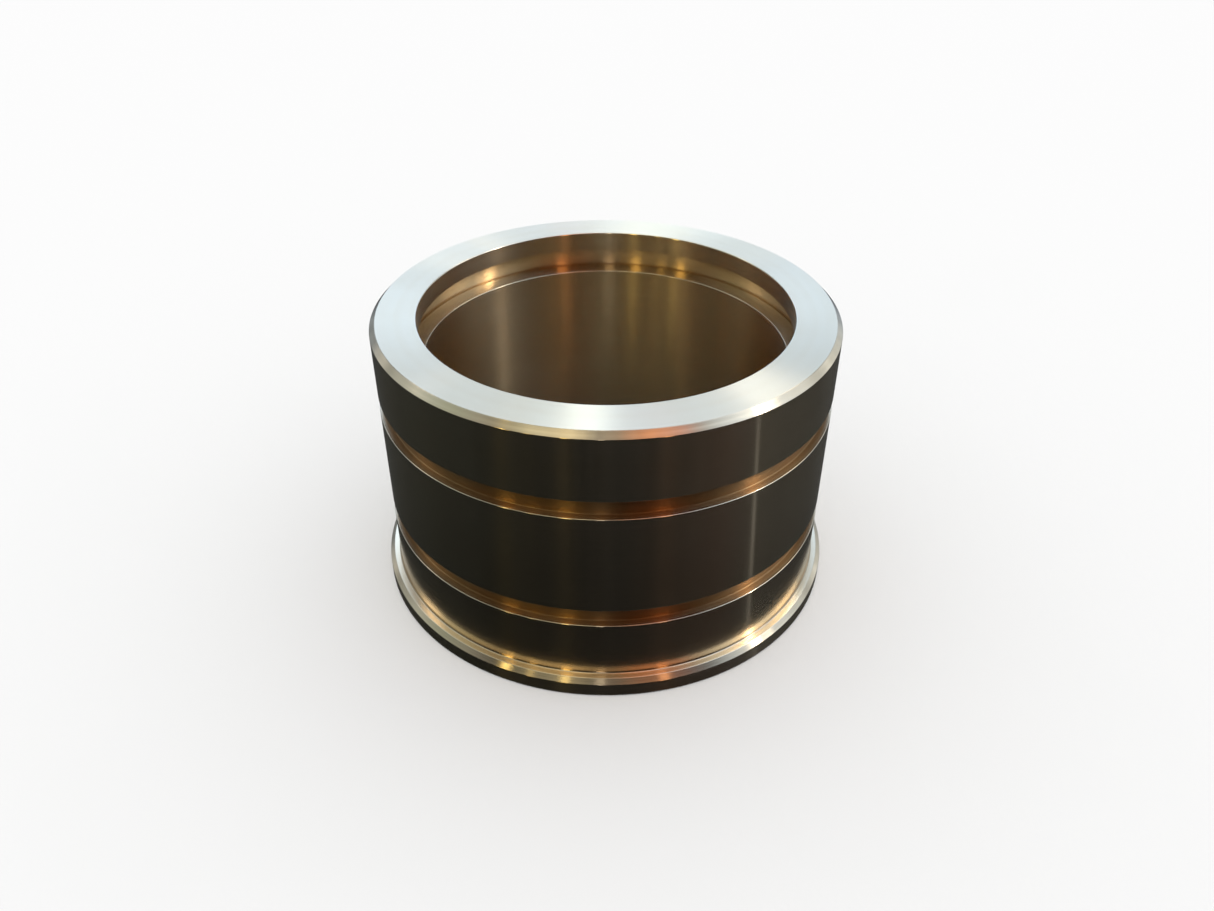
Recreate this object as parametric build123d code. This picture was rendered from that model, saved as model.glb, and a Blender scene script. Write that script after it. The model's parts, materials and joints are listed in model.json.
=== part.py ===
from build123d import *
import os

# Flanged bronze sleeve bushing, in millimetres, +Z up.
# Origin: on the bushing's axis, at the middle of the flange's outer face (the base face).
# A flanged shell carries the outer fit, the two ring grooves and the end lip.
# A plain bearing liner is pressed into it from the flange end and stops short of the lip,
# which leaves an internal ring recess between the liner's end and the lip.

# Driving dimensions
TOTAL_LENGTH = 76.0
SLEEVE_RADIUS = 60.0
FLANGE_RADIUS = 63.0
FLANGE_THICKNESS = 5.0
BORE_RADIUS = 47.5
LIP_BORE_RADIUS = 48.3
LIP_THICKNESS = 5.2
RECESS_RADIUS = 53.0
RECESS_WIDTH = 6.6
GROOVE_WIDTH = 4.8
GROOVE_DEPTH = 2.1
GROOVE_CENTERS = (23.3, 55.7)

# Edge treatment
END_CHAMFER = 1.5
FLANGE_CHAMFER = 1.2
BORE_LEAD_IN = 1.5
LINER_LEAD_IN = 0.6
EDGE_BREAK = 0.4
GROOVE_EDGE_BREAK = 0.2

# Derived heights
LIP_BOTTOM = TOTAL_LENGTH - LIP_THICKNESS
LINER_LENGTH = LIP_BOTTOM - RECESS_WIDTH


def turned(outline):
    """Solid of revolution about the Z axis from its closed (radius, height) outline."""
    wire = Polyline(*[(radius, 0, height) for radius, height in outline], close=True)
    return revolve(make_face(wire), axis=Axis.Z)


def groove_outline(center):
    """One square ring groove in the outer wall, from its lower edge to its upper edge."""
    low = center - GROOVE_WIDTH / 2
    high = center + GROOVE_WIDTH / 2
    root = SLEEVE_RADIUS - GROOVE_DEPTH
    rim = SLEEVE_RADIUS - GROOVE_EDGE_BREAK
    return [
        (SLEEVE_RADIUS, low - GROOVE_EDGE_BREAK), (rim, low), (root, low),
        (root, high), (rim, high), (SLEEVE_RADIUS, high + GROOVE_EDGE_BREAK),
    ]


def flanged_shell():
    """Flange, outer wall with its ring grooves, end lip, and the bore that holds the liner."""
    flange = [
        (RECESS_RADIUS, 0), (FLANGE_RADIUS - EDGE_BREAK, 0), (FLANGE_RADIUS, EDGE_BREAK),
        (FLANGE_RADIUS, FLANGE_THICKNESS - FLANGE_CHAMFER),
        (FLANGE_RADIUS - FLANGE_CHAMFER, FLANGE_THICKNESS), (SLEEVE_RADIUS, FLANGE_THICKNESS),
    ]
    grooves = [point for center in GROOVE_CENTERS for point in groove_outline(center)]
    lip = [
        (SLEEVE_RADIUS, TOTAL_LENGTH - END_CHAMFER), (SLEEVE_RADIUS - END_CHAMFER, TOTAL_LENGTH),
        (LIP_BORE_RADIUS + EDGE_BREAK, TOTAL_LENGTH), (LIP_BORE_RADIUS, TOTAL_LENGTH - EDGE_BREAK),
        (LIP_BORE_RADIUS, LIP_BOTTOM + GROOVE_EDGE_BREAK),
        (LIP_BORE_RADIUS + GROOVE_EDGE_BREAK, LIP_BOTTOM), (RECESS_RADIUS, LIP_BOTTOM),
    ]
    return turned(flange + grooves + lip)


def bore_liner():
    """Plain bearing liner: the running bore, with a lead-in at the base and a broken upper edge."""
    return turned([
        (BORE_RADIUS + BORE_LEAD_IN, 0), (RECESS_RADIUS, 0),
        (RECESS_RADIUS, LINER_LENGTH - LINER_LEAD_IN), (RECESS_RADIUS - LINER_LEAD_IN, LINER_LENGTH),
        (BORE_RADIUS + EDGE_BREAK, LINER_LENGTH), (BORE_RADIUS, LINER_LENGTH - EDGE_BREAK),
        (BORE_RADIUS, BORE_LEAD_IN),
    ])


PARTS = {"flanged_shell": flanged_shell(), "bore_liner": bore_liner()}

os.makedirs("parts", exist_ok=True)
for name, solid in PARTS.items():
    export_step(solid, f"parts/{name}.step")
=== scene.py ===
import bpy
import json
from math import atan2, cos, pi, radians, sin, tan
from mathutils import Matrix, Vector


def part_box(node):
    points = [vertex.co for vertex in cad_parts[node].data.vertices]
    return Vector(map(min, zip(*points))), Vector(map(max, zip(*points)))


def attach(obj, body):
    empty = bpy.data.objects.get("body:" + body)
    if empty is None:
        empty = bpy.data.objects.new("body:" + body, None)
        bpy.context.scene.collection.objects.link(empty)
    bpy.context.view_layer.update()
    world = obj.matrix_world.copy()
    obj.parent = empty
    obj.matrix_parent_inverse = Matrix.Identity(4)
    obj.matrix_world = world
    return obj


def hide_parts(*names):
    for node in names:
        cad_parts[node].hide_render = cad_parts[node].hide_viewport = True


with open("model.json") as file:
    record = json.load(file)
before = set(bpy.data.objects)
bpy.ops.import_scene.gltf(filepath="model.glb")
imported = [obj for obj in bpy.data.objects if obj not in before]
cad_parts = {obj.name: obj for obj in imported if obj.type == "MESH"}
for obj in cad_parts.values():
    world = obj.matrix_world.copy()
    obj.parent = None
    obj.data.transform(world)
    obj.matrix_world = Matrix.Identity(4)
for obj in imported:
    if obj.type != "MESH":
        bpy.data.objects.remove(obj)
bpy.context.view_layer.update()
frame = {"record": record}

MM = 0.001

# Sizes of the bushing, read from the frame
mounts = {mount["name"]: mount for mount in frame["record"]["mounts"]}


def mount_radius(name):
    """Wall or root radius of a round mount, in metres."""
    return mounts[name]["dims"]["r_mm"] * MM


_, shell_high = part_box("flanged_shell")
_, liner_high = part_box("bore_liner")
LENGTH = shell_high.z
FLANGE_RADIUS = shell_high.x
SLEEVE_RADIUS = mount_radius("housing_seat")
FLANGE_TOP = mounts["flange_seat"]["pos_m"][2]
LIP_RADIUS = mount_radius("lip_bore")
RECESS_RADIUS = mount_radius("seal_recess")
RECESS_WIDTH = mounts["seal_recess"]["dims"]["length_mm"] * MM
LINER_TOP = liner_high.z
LIP_BOTTOM = LINER_TOP + RECESS_WIDTH
BORE_RADIUS = mount_radius("running_bore")

# Chamfers, lead-ins and the rounding of the edges between faces
END_CHAMFER = 1.5 * MM
FLANGE_CHAMFER = 1.2 * MM
BORE_LEAD_IN = 1.5 * MM
LINER_LEAD_IN = 0.6 * MM
CORNER_ROUND = 0.2 * MM
RIM_ROUND = 0.4 * MM
ROOT_ROUND = 0.3 * MM
FOOT_ROUND = 0.5 * MM

# Roughness of the turned walls, and what some of the surfaces add to it
SHELL_ROUGHNESS = 0.148
LINER_ROUGHNESS = 0.26
FACED_EXTRA = 0.175      # the end face
GROOVED_EXTRA = 0.18     # the ring grooves
INNER_EXTRA = 0.08       # the shell's lip and internal recess
SHOULDER_EXTRA = 0.04    # everything up to the flange's top

# Where one finish fades into the next: FADE is a width, and each pair of depths is where a fade ends
# on its two sides
FADE = 1.0 * MM
FACED_DEPTHS = (0.2 * MM, 0.05 * MM)     # below the end face
LIP_DEPTHS = (0.6 * MM, 0.3 * MM)        # below the end face
UNGROOVED_DEPTHS = (4 * MM, 3 * MM)      # below the end face
GROOVE_DEPTHS = (1.0 * MM, 0.2 * MM)     # inwards from the wall

# Bronze colours, how much of the first four the last three cover, and the edge value where they start
SHELL_LIGHT = (0.86, 0.68, 0.45, 1)
SHELL_DARK = (0.80, 0.60, 0.37, 1)
LINER_LIGHT = (0.84, 0.65, 0.40, 1)
LINER_DARK = (0.77, 0.56, 0.31, 1)
WORN_COLOR = (0.90, 0.74, 0.55, 1)
# The next two colours are painted shade: darker bronze in concave corners and in the ring grooves
CREVICE_SHADE_COLOR = (0.30, 0.17, 0.08, 1)
GROOVE_SHADE_COLOR = (0.40, 0.21, 0.07, 1)
WORN_COVER = 0.35
CREVICE_SHADE_COVER = 0.5
GROOVE_SHADE_COVER = 0.85
EDGE_MARK_START = 0.1

# Noise scales per metre, the shares of the tone, and the ranges that tone and noise are read over
RING_SCALE = 900.0
BAND_SCALE = 130.0
CLOUD_SCALE = 45.0
SMEAR_SCALE = 70.0
RING_SHARE = 0.3
BAND_SHARE = 0.3
CLOUD_SHARE = 0.4
TONE_RANGE = (0.35, 0.65)
NOISE_RANGE = (0.3, 0.7)

# Least and most roughness that the smears and the lathe's rings add, and the rings' relief
SMEAR_ROUGHNESS = (-0.003, 0.012)
RING_ROUGHNESS = (-0.003, 0.005)
RING_STRENGTH = 0.5
RING_DEPTH = 0.06 * MM

# Mesh fineness
TURN_STEPS = 360
ARC_STEP = radians(12)
LONGEST_RUN = 4 * MM


# ---------------------------------------------------------------- shapes

def rounded_outline(corners):
    """Closed outline with each (radius, height, rounding) corner made an arc.

    Gives (radius, height, normal angle, edge mark) rows. The outline runs anticlockwise in the
    radius-height plane, so the outward normal is on its right. The edge mark is 1 on a convex edge,
    where the colour shows wear, -1 in a concave corner, where it sets painted shade, and 0 on the plain
    faces.
    """
    rows = []
    count = len(corners)
    for i in range(count):
        before, here, after = (Vector(corners[(i + k) % count][:2]) for k in (-1, 0, 1))
        rounding = corners[i][2]
        arrive, leave = (here - before).normalized(), (after - here).normalized()
        turn = atan2(arrive.x * leave.y - arrive.y * leave.x, arrive.dot(leave))
        setback = rounding * abs(tan(turn / 2))
        side = 1 if turn > 0 else -1
        start = here - arrive * setback
        center = start + Vector((-arrive.y, arrive.x)) * rounding * side
        start_normal = atan2(-arrive.x, arrive.y)
        steps = max(2, round(abs(turn) / ARC_STEP))
        if rows:
            add_run(rows, start, start_normal)
        for step in range(steps + 1):
            angle = start_normal + turn * step / steps
            point = center + Vector((cos(angle), sin(angle))) * rounding * side
            edge_mark = side * sin(pi * step / steps)
            rows.append((point.x, point.y, angle, edge_mark))
    add_run(rows, Vector(rows[0][:2]), rows[0][2])
    return rows


def add_run(rows, end, normal):
    """Splits a long straight run up to end, so that no face is long and thin."""
    begin = Vector(rows[-1][:2])
    pieces = int((end - begin).length / LONGEST_RUN) + 1
    for k in range(1, pieces):
        point = begin.lerp(end, k / pieces)
        rows.append((point.x, point.y, normal, 0.0))


def lathe(name, corners):
    """Mesh object turned about Z from an outline's corners, with exact normals and an edge value: wear on
    convex edges, painted shade in concave corners.
    """
    rows = rounded_outline(corners)
    count = len(rows)
    verts, normals, wear = [], [], []
    for step in range(TURN_STEPS):
        around = 2 * pi * step / TURN_STEPS
        c, s = cos(around), sin(around)
        for radius, height, normal, edge_mark in rows:
            verts.append((radius * c, radius * s, height))
            normals.append((cos(normal) * c, cos(normal) * s, sin(normal)))
            wear.append(edge_mark)
    faces = []
    for step in range(TURN_STEPS):
        here, after = step * count, (step + 1) % TURN_STEPS * count
        for k in range(count):
            up = (k + 1) % count
            faces.append((here + k, after + k, after + up, here + up))
    mesh = bpy.data.meshes.new(name)
    mesh.from_pydata(verts, [], faces)
    mesh.shade_smooth()
    mesh.attributes.new("wear", "FLOAT", "POINT").data.foreach_set("value", wear)
    mesh.normals_split_custom_set_from_vertices(normals)
    piece = bpy.data.objects.new(name, mesh)
    bpy.context.scene.collection.objects.link(piece)
    return piece


def groove_corners(name):
    """Corners of one outer ring groove, from its lower edge to its upper edge."""
    half = mounts[name]["dims"]["length_mm"] * MM / 2
    center = mounts[name]["pos_m"][2]
    root = mount_radius(name)
    return [
        (SLEEVE_RADIUS, center - half, CORNER_ROUND), (root, center - half, ROOT_ROUND),
        (root, center + half, ROOT_ROUND), (SLEEVE_RADIUS, center + half, CORNER_ROUND),
    ]


def make_shell():
    """The flanged shell: flange, grooved outer wall, end lip and the bore that holds the liner."""
    corners = [
        (RECESS_RADIUS, 0, CORNER_ROUND),
        (FLANGE_RADIUS, 0, RIM_ROUND),
        (FLANGE_RADIUS, FLANGE_TOP - FLANGE_CHAMFER, CORNER_ROUND),
        (FLANGE_RADIUS - FLANGE_CHAMFER, FLANGE_TOP, CORNER_ROUND),
        (SLEEVE_RADIUS, FLANGE_TOP, FOOT_ROUND),
        *groove_corners("lower_ring_groove"),
        *groove_corners("upper_ring_groove"),
        (SLEEVE_RADIUS, LENGTH - END_CHAMFER, CORNER_ROUND),
        (SLEEVE_RADIUS - END_CHAMFER, LENGTH, CORNER_ROUND),
        (LIP_RADIUS, LENGTH, RIM_ROUND),
        (LIP_RADIUS, LIP_BOTTOM, CORNER_ROUND),
        (RECESS_RADIUS, LIP_BOTTOM, ROOT_ROUND),
    ]
    return lathe("turned_shell", corners)


def make_liner():
    """The bearing liner: the running bore, its lead-in and its broken upper edge."""
    corners = [
        (BORE_RADIUS + BORE_LEAD_IN, 0, CORNER_ROUND),
        (RECESS_RADIUS, 0, CORNER_ROUND),
        (RECESS_RADIUS, LINER_TOP - LINER_LEAD_IN, CORNER_ROUND),
        (RECESS_RADIUS - LINER_LEAD_IN, LINER_TOP, CORNER_ROUND),
        (BORE_RADIUS, LINER_TOP, CORNER_ROUND),
        (BORE_RADIUS, BORE_LEAD_IN, CORNER_ROUND),
    ]
    return lathe("bored_liner", corners)


# ---------------------------------------------------------------- materials

class Nodes:
    """Short names for adding and joining shader nodes."""

    def __init__(self, tree):
        self.tree = tree
        tree.nodes.clear()

    def add(self, kind, inputs=None, **settings):
        node = self.tree.nodes.new(kind)
        for key, value in settings.items():
            setattr(node, key, value)
        for key, value in (inputs or {}).items():
            if isinstance(value, bpy.types.NodeSocket):
                self.tree.links.new(value, node.inputs[key])
            else:
                node.inputs[key].default_value = value
        return node

    def math(self, operation, a, b=0.0):
        return self.add("ShaderNodeMath", {0: a, 1: b}, operation=operation).outputs[0]

    def total(self, first, *others):
        for other in others:
            first = self.math("ADD", first, other)
        return first

    def product(self, first, *others):
        for other in others:
            first = self.math("MULTIPLY", first, other)
        return first

    def noise(self, vector, scale, detail=2.0, rough=0.5):
        inputs = {"Vector": vector, "Scale": scale, "Detail": detail, "Roughness": rough}
        return self.add("ShaderNodeTexNoise", inputs).outputs["Fac"]

    def spread(self, value, low, high, new_low=0.0, new_high=1.0):
        inputs = {"Value": value, "From Min": low, "From Max": high, "To Min": new_low, "To Max": new_high}
        return self.add("ShaderNodeMapRange", inputs).outputs[0]

    def mix_color(self, factor, a, b, blend="MIX"):
        inputs = {0: factor, 6: a, 7: b}
        return self.add("ShaderNodeMix", inputs, data_type="RGBA", blend_type=blend).outputs[2]


def finish_masks(n, radius, height):
    """Two values from 0 to 1: inside the lip and the internal recess, and inside the ring grooves."""
    inner = n.product(
        n.spread(radius, RECESS_RADIUS, RECESS_RADIUS + FADE, 1.0, 0.0),
        n.spread(height, LENGTH - LIP_DEPTHS[0], LENGTH - LIP_DEPTHS[1], 1.0, 0.0),
    )
    grooved = n.product(
        n.spread(radius, SLEEVE_RADIUS - GROOVE_DEPTHS[0], SLEEVE_RADIUS - GROOVE_DEPTHS[1], 1.0, 0.0),
        n.spread(radius, RECESS_RADIUS, RECESS_RADIUS + FADE),
        n.spread(height, FLANGE_TOP, FLANGE_TOP + FADE),
        n.spread(height, LENGTH - UNGROOVED_DEPTHS[0], LENGTH - UNGROOVED_DEPTHS[1], 1.0, 0.0),
    )
    return inner, grooved


def turned_bronze(name, light, dark, roughness, inner_extra=0.0):
    """Bronze with the marks of a lathe, which follow the distance from the axis and the height. Concave
    corners and the ring grooves get painted shade.
    """
    material = bpy.data.materials.new(name)
    material.use_nodes = True
    n = Nodes(material.node_tree)
    place = n.add("ShaderNodeTexCoord").outputs["Object"]
    x, y, height = n.add("ShaderNodeSeparateXYZ", {0: place}).outputs
    radius = n.math("SQRT", n.total(n.product(x, x), n.product(y, y)))
    turned = n.add("ShaderNodeCombineXYZ", {0: radius, 1: height}).outputs[0]
    wear = n.add("ShaderNodeAttribute", attribute_name="wear").outputs["Fac"]
    inner, grooved = finish_masks(n, radius, height)

    rings = n.noise(turned, RING_SCALE)
    bands = n.noise(turned, BAND_SCALE)
    cloud = n.noise(place, CLOUD_SCALE, detail=4.0, rough=0.6)
    tone = n.total(
        n.product(bands, BAND_SHARE), n.product(cloud, CLOUD_SHARE), n.product(rings, RING_SHARE),
    )
    edge_mark = n.spread(wear, EDGE_MARK_START, 1.0)
    crevice_shade = n.spread(wear, -EDGE_MARK_START, -1.0)
    color = n.mix_color(n.spread(tone, *TONE_RANGE), dark, light)
    color = n.mix_color(n.product(edge_mark, WORN_COVER), color, WORN_COLOR)
    # Painted shade: concave corners darkened towards a deep bronze brown
    color = n.mix_color(n.product(crevice_shade, CREVICE_SHADE_COVER), color, CREVICE_SHADE_COLOR)
    # Painted shade: the ring grooves darkened to a deeper, more orange bronze
    color = n.mix_color(n.product(grooved, GROOVE_SHADE_COVER), color, GROOVE_SHADE_COLOR)

    smears = n.noise(place, SMEAR_SCALE, detail=3.0, rough=0.55)
    rough = n.total(
        n.spread(smears, *NOISE_RANGE, *SMEAR_ROUGHNESS),
        roughness,
        n.spread(rings, *NOISE_RANGE, *RING_ROUGHNESS),
        n.spread(height, LENGTH - FACED_DEPTHS[0], LENGTH - FACED_DEPTHS[1], 0.0, FACED_EXTRA),
        n.product(grooved, GROOVED_EXTRA),
        n.product(inner, inner_extra),
        n.spread(height, FLANGE_TOP, FLANGE_TOP + FADE, SHOULDER_EXTRA, 0.0),
    )
    relief = n.add("ShaderNodeBump", {"Strength": RING_STRENGTH, "Distance": RING_DEPTH, "Height": rings})

    shader = n.add("ShaderNodeBsdfPrincipled", {
        "Base Color": color, "Roughness": rough, "Normal": relief.outputs[0],
        "Tangent": n.add("ShaderNodeTangent", direction_type="RADIAL", axis="Z").outputs[0],
    })
    shader.inputs["Metallic"].default_value = 1.0
    # Rougher across the lathe's marks than along them
    shader.inputs["Anisotropic"].default_value = 1.0
    shader.inputs["Anisotropic Rotation"].default_value = 0.25
    n.add("ShaderNodeOutputMaterial", {0: shader.outputs[0]})
    return material


def dress(piece, node, material):
    """Gives a piece its material, puts it under the root body and hides the CAD part that it replaces."""
    piece.data.materials.append(material)
    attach(piece, "root")
    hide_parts(node)


# ---------------------------------------------------------------- studio

# Lamps stand on a sphere of this radius round the point that they aim at
LAMP_DISTANCE = 1.2
AIM = Vector((0, 0, 0.04))


def lamp(name, azimuth, elevation, width, height, color, brightness):
    """Soft panel seen only in reflections.

    Azimuth, elevation, width and height are angles in degrees. Azimuth 0 is the camera's side
    and 90 is its right. Brightness is the panel's own, so a larger panel gives more light.
    """
    data = bpy.data.lights.new(name, "AREA")
    data.shape = "RECTANGLE"
    data.size = 2 * LAMP_DISTANCE * tan(radians(width / 2))
    data.size_y = 2 * LAMP_DISTANCE * tan(radians(height / 2))
    data.color = color
    data.energy = brightness * data.size * data.size_y * pi
    item = bpy.data.objects.new(name, data)
    a, e = radians(azimuth), radians(elevation)
    away = Vector((sin(a) * cos(e), -cos(a) * cos(e), sin(e)))
    item.location = AIM + away * LAMP_DISTANCE
    item.rotation_euler = away.to_track_quat("Z", "Y").to_euler()
    item.visible_camera = False
    item.visible_diffuse = False
    bpy.context.scene.collection.objects.link(item)


def ramp(n, value, stops):
    """Color ramp with (position, color) stops."""
    node = n.add("ShaderNodeValToRGB", {0: value})
    elements = node.color_ramp.elements
    while len(elements) < len(stops):
        elements.new(0.5)
    for element, (position, color) in zip(elements, stops):
        element.position = position
        element.color = (*color, 1)
    return node.outputs[0]


# Room seen in reflections, in four layers that are added up. A layer's HEIGHTS are stops of (height of
# the direction, brightness), from -1 straight down to 1 straight up. Its SIDES are stops of (azimuth
# in degrees, colour).
BLACK = (0.0, 0.0, 0.0)
CEILING_HEIGHTS = ((0.58, 0.0), (0.69, 0.14), (0.76, 0.55), (0.82, 1.0), (1.0, 1.1))
CEILING_SIDES = (
    (-180, (0.70, 1.00, 1.50)), (-164, (0.90, 1.20, 1.70)), (-148, (0.30, 0.38, 0.50)),
    (-120, (0.40, 0.50, 0.60)), (-84, (0.36, 0.43, 0.41)), (-68, (0.52, 0.56, 0.50)),
    (-54, (1.00, 1.10, 1.00)), (-20, (1.05, 1.05, 0.88)), (-6, (0.44, 0.46, 0.46)),
    (8, (0.46, 0.42, 0.40)), (28, (1.05, 0.54, 0.34)), (48, (0.98, 0.60, 0.60)),
    (60, (0.80, 1.00, 1.30)), (74, (0.95, 1.20, 1.75)), (150, (0.60, 0.75, 1.00)),
    (166, (0.46, 0.60, 0.86)), (180, (0.66, 0.98, 1.50)),
)
CARD_HEIGHTS = (
    (-0.25, 0.0), (-0.05, 0.3), (0.12, 0.6), (0.34, 0.95),
    (0.50, 1.05), (0.66, 1.5), (0.80, 0.9), (1.0, 0.0),
)
CARD_SIDES = (
    (-180, (0.66, 1.02, 1.70)), (-166, (0.60, 0.80, 1.16)), (-124, (0.16, 0.20, 0.26)),
    (-115, (0.48, 0.58, 0.68)), (-101, (0.46, 0.57, 0.67)), (-86, (0.30, 0.38, 0.38)),
    (-66, (0.16, 0.17, 0.19)), (-54, BLACK), (52, BLACK),
    (76, (0.66, 0.86, 1.20)), (96, (0.80, 1.02, 1.40)), (112, (0.74, 0.90, 1.14)),
    (124, (0.22, 0.28, 0.34)), (166, (0.50, 0.68, 1.00)), (180, (0.66, 1.02, 1.70)),
)
LOW_HEIGHTS = ((-0.32, 0.0), (-0.18, 0.8), (-0.05, 1.0), (0.24, 1.0), (0.38, 0.0), (1.0, 0.0))
LOW_SIDES = (
    (-180, BLACK), (-160, BLACK), (-148, (0.13, 0.16, 0.19)),
    (-134, (0.11, 0.14, 0.18)), (-122, (0.45, 0.52, 0.60)), (-114, BLACK),
    (112, BLACK), (120, (0.66, 0.78, 0.96)), (134, (0.42, 0.49, 0.58)),
    (148, (0.36, 0.46, 0.60)), (160, BLACK), (180, BLACK),
)
BENCH_HEIGHTS = (
    (-1.0, 4.0), (-0.92, 3.0), (-0.86, 0.5), (-0.75, 0.5), (-0.70, 0.8), (-0.64, 1.2),
    (-0.58, 2.0), (-0.40, 2.2), (0.0, 1.6), (0.3, 0.6), (1.0, 0.0),
)
BENCH_SIDES = (
    (-180, (0.024, 0.026, 0.027)), (-110, (0.012, 0.0145, 0.0155)), (-50, (0.0095, 0.0115, 0.0125)),
    (-10, (0.0095, 0.011, 0.013)), (12, (0.012, 0.0135, 0.0155)), (36, (0.018, 0.018, 0.019)),
    (60, (0.027, 0.024, 0.025)), (82, (0.021, 0.023, 0.025)), (180, (0.022, 0.024, 0.025)),
)

# A thin bright edge low on the right, which leans as it rises
EDGE_AZIMUTH = 84.0             # in degrees, at the height below
EDGE_HEIGHT = -0.658            # height of the direction at its middle
EDGE_LEAN = 51.0                # degrees of azimuth lost for each 1 of height
EDGE_FADE = (0.4, 1.6)          # degrees from its middle line where its fade begins and ends
EDGE_END_FADE = (0.06, 0.09)    # the same along it, with 1 from straight down to straight up
EDGE_BRIGHTNESS = 0.16
EDGE_COLOR = (0.85, 0.95, 1.1, 1)

# Uneven brightness of the room from side to side, and the plain backdrop that the camera sees
CLUTTER_SCALE = 60.0
CLUTTER_BRIGHTNESS = (0.75, 1.25)
BACKDROP_COLOR = (1.05, 1.05, 1.05, 1)


def bright_edge(n, around, height):
    """Brightness of the thin leaning edge. Around and height both run from 0 to 1."""
    azimuth = n.spread(around, 0.0, 1.0, -180.0, 180.0)
    upright = n.total(azimuth, n.spread(height, 0.0, 1.0, -EDGE_LEAN, EDGE_LEAN))
    off_line = n.math("ABSOLUTE", n.math("SUBTRACT", upright, EDGE_AZIMUTH + EDGE_LEAN * EDGE_HEIGHT))
    off_middle = n.math("ABSOLUTE", n.math("SUBTRACT", height, (EDGE_HEIGHT + 1) / 2))
    return n.product(
        n.spread(off_line, *EDGE_FADE, 1.0, 0.0), n.spread(off_middle, *EDGE_END_FADE, EDGE_BRIGHTNESS, 0.0),
    )


def make_world():
    """Pale to the camera and to the floor; for reflections, a dim room, dark below and light above."""
    world = bpy.data.worlds.new("studio")
    world.use_nodes = True
    n = Nodes(world.node_tree)
    direction = n.add("ShaderNodeTexCoord").outputs["Generated"]
    x, y, z = n.add("ShaderNodeSeparateXYZ", {0: direction}).outputs
    around = n.spread(n.math("ARCTAN2", x, n.product(y, -1.0)), -pi, pi)
    height = n.spread(z, -1.0, 1.0)

    def layer(heights, sides):
        by_height = ramp(n, height, [((at + 1) / 2, (value,) * 3) for at, value in heights])
        by_side = ramp(n, around, [((at + 180) / 360, color) for at, color in sides])
        return n.mix_color(1.0, by_side, by_height, "MULTIPLY")

    room_color = layer(CEILING_HEIGHTS, CEILING_SIDES)
    layers = ((CARD_HEIGHTS, CARD_SIDES), (LOW_HEIGHTS, LOW_SIDES), (BENCH_HEIGHTS, BENCH_SIDES))
    for heights, sides in layers:
        room_color = n.mix_color(1.0, room_color, layer(heights, sides), "ADD")
    room_color = n.mix_color(bright_edge(n, around, height), room_color, EDGE_COLOR, "ADD")
    sideways = n.add("ShaderNodeCombineXYZ", {0: around}).outputs[0]
    clutter = n.noise(sideways, CLUTTER_SCALE, rough=0.6)
    strength = n.spread(clutter, *NOISE_RANGE, *CLUTTER_BRIGHTNESS)
    room = n.add("ShaderNodeBackground", {0: room_color, 1: strength})
    pale = n.add("ShaderNodeBackground", {0: BACKDROP_COLOR})
    reflected = n.add("ShaderNodeLightPath").outputs["Is Glossy Ray"]
    mix = n.add("ShaderNodeMixShader", {0: reflected, 1: pale.outputs[0], 2: room.outputs[0]})
    n.add("ShaderNodeOutputWorld", {0: mix.outputs[0]})
    world.cycles.sampling_method = "NONE"
    bpy.context.scene.world = world


# Half the floor's side, and how far it lies under the part so that the two faces don't flicker
FLOOR_REACH = 6.0
FLOOR_DROP = 0.05 * MM
FLOOR_COLOR = (0.93, 0.93, 0.93, 1)
FLOOR_ROUGHNESS = 0.9


def make_floor():
    """Plain pale floor. Reflections see past it, as on a dark bench."""
    mesh = bpy.data.meshes.new("floor")
    signs = ((-1, -1), (1, -1), (1, 1), (-1, 1))
    corners = [(x * FLOOR_REACH, y * FLOOR_REACH, -FLOOR_DROP) for x, y in signs]
    mesh.from_pydata(corners, [], [(0, 1, 2, 3)])
    floor = bpy.data.objects.new("floor", mesh)
    material = bpy.data.materials.new("pale_floor")
    material.use_nodes = True
    shader = material.node_tree.nodes["Principled BSDF"]
    shader.inputs["Base Color"].default_value = FLOOR_COLOR
    shader.inputs["Roughness"].default_value = FLOOR_ROUGHNESS
    shader.inputs["Specular IOR Level"].default_value = 0.0
    mesh.materials.append(material)
    floor.visible_glossy = False
    bpy.context.scene.collection.objects.link(floor)


# Lamp colours
WINDOW_COLOR = (0.44, 0.66, 1.06)
SKY_COLOR = (0.70, 0.84, 1.0)
LAMP_COLOR = (1.0, 0.98, 0.95)
GOLD_COLOR = (1.0, 0.82, 0.32)
SUN_COLOR = (1.0, 0.90, 0.70)
EMBER_COLOR = (1.0, 0.5, 0.25)


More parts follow.
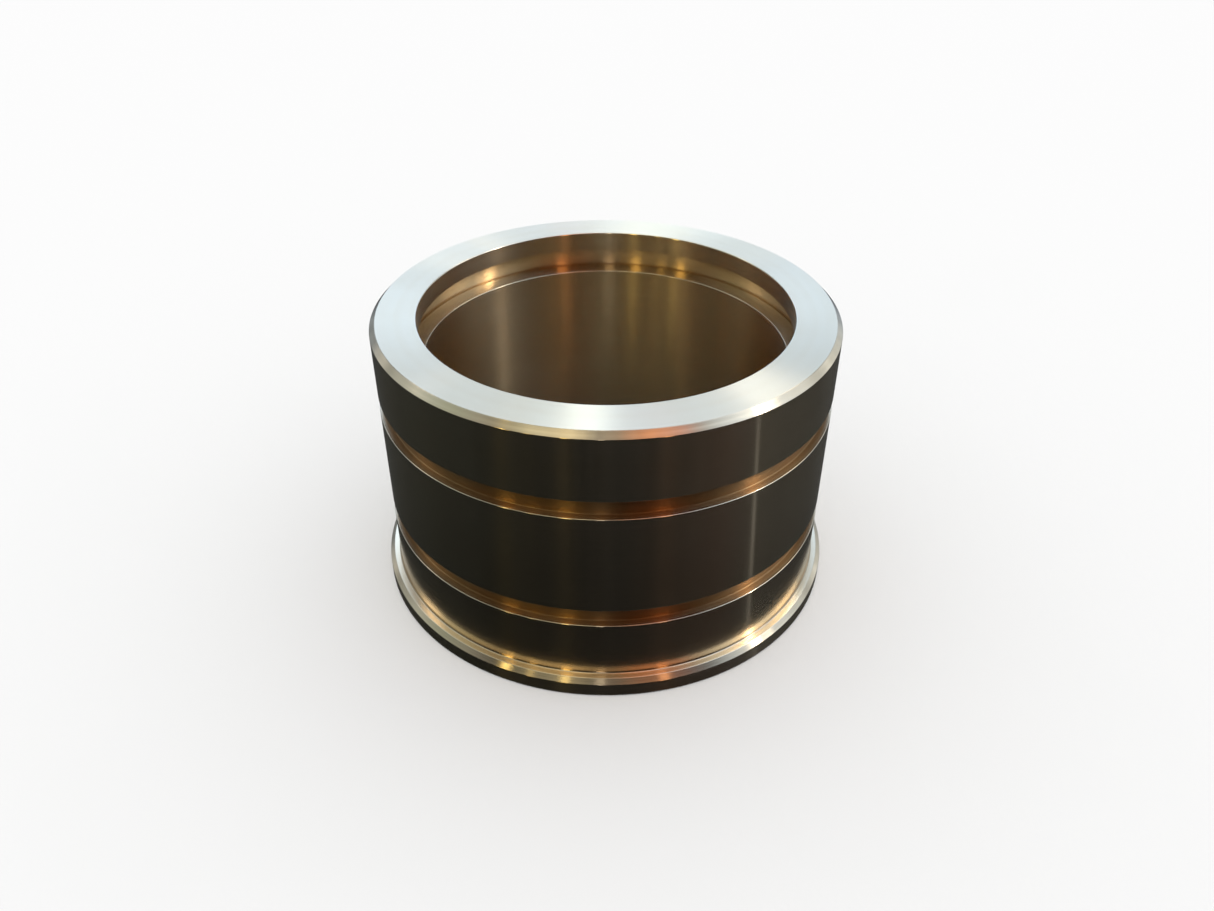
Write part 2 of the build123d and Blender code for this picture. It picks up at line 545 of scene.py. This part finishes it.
def make_lights():
    """A cool window behind the part, and lamps round it that draw streaks along the turned surfaces."""
    lamp("window", -174, 24, 52, 30, WINDOW_COLOR, 0.9)
    lamp("skylight", -176, 56, 5, 8, SKY_COLOR, 8)
    lamp("skylight_right", 149, 46, 4, 6, SKY_COLOR, 10)
    lamp("strip_right", 84, 38, 2.6, 30, LAMP_COLOR, 4)
    lamp("glint_right", 79, 34, 2.5, 8, LAMP_COLOR, 36)
    lamp("strip_right_back", 118, 42, 18, 8, SUN_COLOR, 2.0)
    lamp("strip_left", -109, 39, 10, 12, LAMP_COLOR, 1.5)
    lamp("ceiling_left", -46, 21, 3, 16, GOLD_COLOR, 7)
    lamp("ceiling_near_left", -34, 21, 2, 16, GOLD_COLOR, 3)
    lamp("ceiling_front_left", -18, 21, 3, 16, GOLD_COLOR, 6.5)
    lamp("ceiling_front", -2, 21, 3, 16, LAMP_COLOR, 3.2)
    lamp("ceiling_right", 27, 21, 4, 16, EMBER_COLOR, 4)


# Camera: its place in sleeve radii from the axis and the base, its turns in radians, and its lens
CAMERA_BACK = 3.8178
CAMERA_UP = 3.1372
CAMERA_PITCH = 0.6076
CAMERA_ROLL = 0.0041
CAMERA_YAW = -0.0017
FOCAL_PER_WIDTH = 0.8082
SENSOR_WIDTH = 36.0
NEAREST_SEEN = 0.01


def make_camera():
    """Camera close in front of the bushing and above it, looking down into the bore."""
    data = bpy.data.cameras.new("camera")
    data.sensor_width = SENSOR_WIDTH
    data.lens = FOCAL_PER_WIDTH * SENSOR_WIDTH
    data.clip_start = NEAREST_SEEN
    camera = bpy.data.objects.new("camera", data)
    turn = Matrix.Rotation(CAMERA_YAW, 4, "Z") @ Matrix.Rotation(pi / 2 - CAMERA_PITCH, 4, "X")
    place = Matrix.Translation((0, -CAMERA_BACK * SLEEVE_RADIUS, CAMERA_UP * SLEEVE_RADIUS))
    camera.matrix_world = place @ turn @ Matrix.Rotation(CAMERA_ROLL, 4, "Z")
    bpy.context.scene.collection.objects.link(camera)
    bpy.context.scene.camera = camera


shell_bronze = turned_bronze("shell_bronze", SHELL_LIGHT, SHELL_DARK, SHELL_ROUGHNESS, INNER_EXTRA)
liner_bronze = turned_bronze("liner_bronze", LINER_LIGHT, LINER_DARK, LINER_ROUGHNESS)
dress(make_shell(), "flanged_shell", shell_bronze)
dress(make_liner(), "bore_liner", liner_bronze)
make_floor()
make_world()
make_lights()
make_camera()
bpy.context.scene.view_settings.view_transform = "Standard"
bpy.context.scene.cycles.denoising_input_passes = "RGB"
